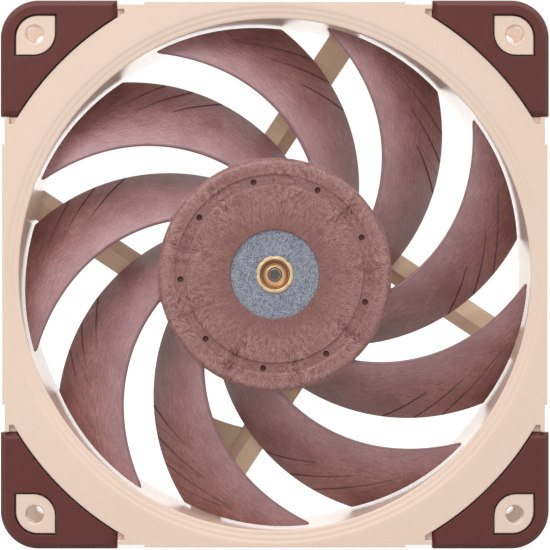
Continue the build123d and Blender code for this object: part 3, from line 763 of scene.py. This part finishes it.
def boss_mesh():
    """The brass boss's face: a rim with eight faint notches, a groove and a shallow dish."""
    turns = BOSS_STEPS
    angle = np.arange(turns) * 360.0 / turns
    profile = np.array([(BOSS_PROFILE[0][0], -BOSS_DEPTH)] + BOSS_PROFILE
                       + [(BOSS_PROFILE[-1][0], -BOSS_DEPTH)])
    radius = np.repeat(profile[:, :1], turns, axis=1)
    height = np.repeat(BOSS_FACE + profile[:, 1:], turns, axis=1)
    wave = np.cos(np.radians(angle * BOSS_NOTCHES)) * 0.5 + 0.5
    notch = wave[None, :] ** 4 * smoothstep(radius, 3.6, 3.95)
    radius = radius - notch * BOSS_NOTCH_DEPTH
    height = height - notch * BOSS_NOTCH_DEPTH * (height > BOSS_FACE - 0.3)
    points = stood_up(radius, angle, height)
    faces = grid_faces(len(profile), turns, close_rows=True, close_columns=True)
    return build("shaft_boss_face", points, faces)


# ---- blades -------------------------------------------------------------------------

def between_stations(radius, column):
    """A smooth value between the blade's stations, by Lagrange's formula."""
    total = 0.0
    for here in BLADE_STATIONS:
        weight = 1.0
        for other in BLADE_STATIONS:
            if other is not here:
                weight = weight * (radius - other[0]) / (here[0] - other[0])
        total = total + weight * here[column]
    return total


def blade_surface(radius, chord):
    """The blade's middle surface as points in mm; chord is 0 at the leading edge."""
    lead, lead_height, trail, trail_height = [between_stations(radius, k) for k in (1, 2, 3, 4)]
    height = lead_height + (trail_height - lead_height) * chord
    height = height + BLADE_CAMBER * chord_length(radius) * 4 * chord * (1 - chord)
    angle = np.radians(lead + (trail - lead) * chord)
    return np.stack([radius * np.cos(angle), radius * np.sin(angle), height], axis=-1)


def unit(vectors):
    return vectors / np.linalg.norm(vectors, axis=-1, keepdims=True)


def half_thickness(radius, chord):
    """Half the blade's thickness: fullest a third of the way back, thin at the rear."""
    first, last = BLADE_STATIONS[0][0], BLADE_STATIONS[-1][0]
    share = (radius - first) / (last - first)
    full = BLADE_THICK_ROOT + (BLADE_THICK_TIP - BLADE_THICK_ROOT) * share
    rise = np.sin(np.clip(chord / BLADE_CREST, 0, 1) * math.pi / 2)
    ahead = LEADING_SHARE + (1 - LEADING_SHARE) * rise
    fall = (np.clip(chord - BLADE_CREST, 0, 1) / (1 - BLADE_CREST)) ** 1.5
    behind = 1 - (1 - TRAILING_SHARE) * fall
    from_nose = np.clip(chord * chord_length(radius) / NOSE_LENGTH, 0, 1)
    nose = NOSE_SHARE + (1 - NOSE_SHARE) * np.sqrt(1 - (1 - from_nose) ** 2)
    return full / 2 * np.where(chord < BLADE_CREST, ahead * nose, behind)


def chord_length(radius):
    """The blade's width from edge to edge, along its slope, in mm."""
    lead, lead_height, trail, trail_height = [between_stations(radius, k) for k in (1, 2, 3, 4)]
    return np.hypot(radius * np.radians(lead - trail), lead_height - trail_height)


def wedge_lift(radius, angle):
    """How far the raised wedges lift the front surface, in mm, and a mask of painted shade along
    their steep sides.
    """
    lift = np.zeros_like(radius)
    crease_shade = np.zeros_like(radius)
    from_edge = (angle - between_stations(radius, 3)) * np.radians(radius)
    for inner, outer, apex, apex_angle, bend in WEDGES:
        inner_start, outer_start = between_stations(inner, 3), between_stations(outer, 3)
        ahead = (angle - outer_start) / (apex_angle - outer_start)
        ahead_inner = (angle - inner_start) / (apex_angle - inner_start)
        low = inner + (apex - inner) * np.clip(ahead_inner, 0, 1) ** bend
        high = outer + (apex - outer) * np.clip(ahead, 0, 1)
        inside = smoothstep(radius, low - WEDGE_WALL, low + WEDGE_WALL)
        inside = inside * (1 - smoothstep(radius, high - WEDGE_WALL, high + WEDGE_WALL))
        fade = (1 - smoothstep(ahead, 0.85, 1.0)) * (ahead > -0.6)
        inner_foot = np.exp(-((radius - low + 1.2 * WEDGE_WALL) / WEDGE_WALL) ** 2)
        outer_foot = np.exp(-((radius - high - 1.2 * WEDGE_WALL) / WEDGE_WALL) ** 2)
        height = WEDGE_HEIGHT * (1 - WEDGE_TAPER * np.clip(ahead, 0, 1))
        lift = lift + (inside * height - (inner_foot + outer_foot) * WEDGE_GROOVE) * fade
        # painted shade along each wedge's two steep sides
        inner_shade = np.exp(-((radius - low) / CREASE_SHADE_WIDTH) ** 2)
        outer_shade = np.exp(-((radius - high) / CREASE_SHADE_WIDTH) ** 2)
        crease_shade = crease_shade + (inner_shade + outer_shade * OUTER_CREASE_SHADE) * fade
    return lift * smoothstep(from_edge, 0.05, 0.4), crease_shade


def blade_mesh(number, rows=320, front_count=140, rear_count=40, edge_count=9):
    """One blade: front and rear surfaces, round edges, a filleted root, a rounded tip."""
    start = 360 / BLADE_COUNT * number
    # rows are closest together where the wedges lie
    share = np.linspace(0, 1, rows - TIP_ROWS)
    share = share + ROW_CROWDING * np.sin(2 * math.pi * share)
    radius = BLADE_START_R + (TIP_R - TIP_ROUND - BLADE_START_R) * share
    bend = np.radians(np.linspace(0, 90, TIP_ROWS + 1)[1:])
    radius = np.r_[radius, TIP_R - TIP_ROUND + TIP_ROUND * np.sin(bend)]
    shrink = np.r_[np.zeros(rows - TIP_ROWS), TIP_ROUND * (1 - np.cos(bend))]
    reach = np.clip(radius - HUB_R, 0, ROOT_FILLET)
    flare = ROOT_FILLET - np.sqrt(ROOT_FILLET ** 2 - (ROOT_FILLET - reach) ** 2)
    grow = flare - shrink

    length = chord_length(radius)
    into_corner = np.clip(radius - (TIP_R - NOSE_CORNER_R), 0, NOSE_CORNER_R)
    corner = NOSE_CORNER_R - np.sqrt(NOSE_CORNER_R ** 2 - into_corner ** 2)
    lead = (half_thickness(radius, 0.0) + corner) / length
    trail = half_thickness(radius, 1.0) / length

    spread = (1 - np.cos(np.linspace(0, math.pi, front_count))) / 2
    spread = 0.35 * spread + 0.65 * np.linspace(0, 1, front_count)
    reached = (1 - lead - trail)[:, None]
    chord = lead[:, None] + reached * spread[None, :]
    rear_chord = lead[:, None] + reached * np.linspace(1, 0, rear_count)[None, :]

    def sheet(chords):
        """The middle surface, its normals, the direction of the chord, half the thickness."""
        r = np.repeat(radius[:, None], chords.shape[1], axis=1)
        middle = blade_surface(r, chords)
        step = 1e-3
        along = blade_surface(r, chords + step) - blade_surface(r, chords - step)
        out = blade_surface(r + 0.01, chords) - blade_surface(r - 0.01, chords)
        normal = unit(np.cross(along, out))
        half = half_thickness(r, chords) + grow[:, None]
        return middle, normal, unit(along), half

    middle, normal, along, half = sheet(chord)
    if normal[0, 0, 2] < 0:
        raise SystemExit("the blade's front surface must face the intake side")
    r = np.repeat(radius[:, None], front_count, axis=1)
    lead_angle, trail_angle = between_stations(r, 1), between_stations(r, 3)
    lift, crease_shade = wedge_lift(r, lead_angle + (trail_angle - lead_angle) * chord)
    half = half + lift * (shrink[:, None] == 0)
    front = middle + normal * half[..., None]
    rear_middle, rear_normal, _, rear_half = sheet(rear_chord)
    rear = rear_middle - rear_normal * rear_half[..., None]

    ends = half_thickness(radius[:, None], np.array([[0.0, 1.0]])) + grow[:, None]
    half[:, [0, -1]] = np.minimum(half[:, [0, -1]], ends)

    def edge(column, direction):
        """The round edge at one end of the section, from the front to the rear."""
        turn = np.radians(np.linspace(90, -90, edge_count + 2)[1:-1])
        size = half[:, column][:, None, None]
        centre = middle[:, column][:, None, :]
        up = normal[:, column][:, None, :] * np.sin(turn)[None, :, None]
        out = along[:, column][:, None, :] * direction * np.abs(np.cos(turn))[None, :, None]
        return centre + (up + out) * size

    trailing = edge(-1, 1.0)
    leading = edge(0, -1.0)[:, ::-1]
    loop = np.concatenate([front, trailing, rear, leading], axis=1)
    columns = loop.shape[1]

    # hold every row on its own cylinder, so that the tip keeps its clearance
    flat = np.hypot(loop[..., 0], loop[..., 1])
    limit = np.maximum(flat / radius[:, None], 1.0)
    loop[..., :2] = loop[..., :2] / limit[..., None]

    turn = math.radians(start)
    x = loop[..., 0] * math.cos(turn) - loop[..., 1] * math.sin(turn)
    z = loop[..., 0] * math.sin(turn) + loop[..., 1] * math.cos(turn)
    points = np.stack([x, -loop[..., 2], z], axis=-1) * MM

    faces = grid_faces(rows, columns, close_columns=True)
    row, column = np.divmod(faces, columns)
    column = unwrapped(column, columns)
    # in mm: the pattern's length round the section, and how far on each blade's begins
    girth_length, apart = 90.0, 137.0
    girth = np.linspace(0, 1, columns + 1) * girth_length
    flow = np.stack([girth[column] + apart * number, radius[row]], axis=-1)

    # marks: painted shade in the wedges' creases, and the distance from the leading edge in mm
    marks = np.zeros((rows, columns + 1, 2))
    marks[:, :front_count, 0] = np.clip(crease_shade, 0, 1)
    marks[:, :, 1] = FAR_FROM_LEAD
    marks[:, :front_count, 1] = (chord - lead[:, None]) * length[:, None]
    marks[:, front_count:front_count + edge_count, 0] = crease_shade[:, -1:]
    marks[:, columns - edge_count:, 1] = 0.0
    marks = marks[row, column]

    caps = []
    for end, flip in ((0, False), (rows - 1, True)):
        first = end * columns
        ring = first + np.arange(columns)
        caps.append(cap_faces(ring, flip))
    cap = np.concatenate(caps)
    cap_values = np.zeros(cap.shape + (2,))
    faces = np.concatenate([faces, cap])
    flow = np.concatenate([flow, cap_values])
    marks = np.concatenate([marks, cap_values])
    return build(f"impeller_blade_{number + 1}", points, faces, Flow=flow, Marks=marks)


def cap_faces(ring, flip):
    """Quads that close a long thin loop of points, side to side."""
    count = len(ring)
    quads = []
    left, right = 0, count - 1
    while right - left >= 3:
        quads.append([ring[left], ring[left + 1], ring[right - 1], ring[right]])
        left += 1
        right -= 1
    quads = np.array(quads)
    return quads[:, ::-1] if flip else quads


# ---- scene --------------------------------------------------------------------------

def add_camera():
    data = bpy.data.cameras.new("camera")
    data.sensor_width = SENSOR_WIDTH
    data.lens = SENSOR_WIDTH * CAMERA_DISTANCE / VIEW_WIDTH
    data.shift_x, data.shift_y = VIEW_SHIFT
    data.clip_start = 0.01
    camera = bpy.data.objects.new("camera", data)
    camera.location = (0.0, FRONT_Y - CAMERA_DISTANCE, 0.0)
    camera.rotation_euler = (math.radians(90), 0, 0)
    scene.collection.objects.link(camera)
    scene.camera = camera


def add_light(name, place, size, power):
    """A soft rectangular light that faces the fan's middle."""
    data = bpy.data.lights.new(name, "AREA")
    data.shape = "RECTANGLE"
    data.size, data.size_y = size
    data.energy = power
    light = bpy.data.objects.new(name, data)
    light.location = place
    light.rotation_euler = (-Vector(place)).to_track_quat("-Z", "Y").to_euler()
    scene.collection.objects.link(light)


def add_world():
    """White all round for the camera. The light it gives is bright from above and behind,
    and dim in front of the fan."""
    world = bpy.data.worlds.new("studio")
    scene.world = world
    world.use_nodes = True
    tree = Tree(owner=world)
    tree.nodes.clear()
    coords = tree.nodes.new("ShaderNodeTexCoord")
    level = WORLD_FILL
    for amount, direction, sharpness in WORLD_LOBES:
        facing = tree.nodes.new("ShaderNodeVectorMath")
        facing.operation = "DOT_PRODUCT"
        tree.put(facing.inputs[0], coords.outputs["Generated"])
        facing.inputs[1].default_value = Vector(direction).normalized()
        toward = tree.math("MAXIMUM", facing.outputs["Value"], 0.0)
        level = tree.math("MULTIPLY_ADD", tree.math("POWER", toward, sharpness), amount, level)
    light = tree.nodes.new("ShaderNodeBackground")
    light.inputs["Color"].default_value = (1, 1, 1, 1)
    tree.links.new(level, light.inputs["Strength"])
    seen = tree.nodes.new("ShaderNodeBackground")
    seen.inputs["Color"].default_value = (1, 1, 1, 1)
    seen.inputs["Strength"].default_value = WORLD_SEEN
    path = tree.nodes.new("ShaderNodeLightPath")
    mix = tree.nodes.new("ShaderNodeMixShader")
    tree.links.new(path.outputs["Is Camera Ray"], mix.inputs[0])
    tree.links.new(light.outputs[0], mix.inputs[1])
    tree.links.new(seen.outputs[0], mix.inputs[2])
    output = tree.nodes.new("ShaderNodeOutputWorld")
    tree.links.new(mix.outputs[0], output.inputs["Surface"])


def add_floor():
    """A plain floor under the fan, white to the camera."""
    corners = [(-1, -1), (1, -1), (1, 1), (-1, 1)]
    mesh = bpy.data.meshes.new("floor")
    mesh.from_pydata([(x * FLOOR_SIDE, y * FLOOR_SIDE, FLOOR_Z) for x, y in corners],
                     [], [(0, 1, 2, 3)])
    floor = bpy.data.objects.new("floor", mesh)
    scene.collection.objects.link(floor)
    tree = Tree("floor_white")
    grain = tree.noise(tree.place(), 30.0, 3.0)
    grey, paler = FLOOR_GREY, FLOOR_GREY * 1.04
    colour = tree.mix(grain, (grey, grey, grey, 1), (paler, paler, paler, 1))
    tree.finish(colour, 0.9, None, Specular_IOR_Level=0.0)
    seen = tree.nodes.new("ShaderNodeLightPath").outputs["Is Camera Ray"]
    _, back, _ = tree.split(tree.place())
    glow = tree.span(back, *FLOOR_BACK_FROM, FLOOR_GLOW, FLOOR_BACK, smooth=True)
    tree.shader.inputs["Emission Color"].default_value = (1, 1, 1, 1)
    tree.put(tree.shader.inputs["Emission Strength"],
             tree.math("MULTIPLY_ADD", seen, tree.math("SUBTRACT", FLOOR_SEEN, glow), glow))
    paint(floor, tree.material)


def main():
    scene.view_settings.view_transform = "Standard"
    for name, material in cad_materials().items():
        paint(nodes[name], material)

    hub = hub_mesh()
    paint(hub, hub_plastic())
    blades = [blade_mesh(number) for number in range(BLADE_COUNT)]
    brown = blade_plastic()
    for blade in blades:
        paint(blade, brown)
    for piece in [hub] + blades:
        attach(piece, "rotor")
        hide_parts("impeller")
    boss = boss_mesh()
    paint(boss, brass_metal("boss_brass"))
    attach(boss, "rotor")
    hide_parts("shaft_boss")

    add_camera()
    add_world()
    add_floor()
    for softbox in SOFTBOXES:
        add_light(*softbox)


main()
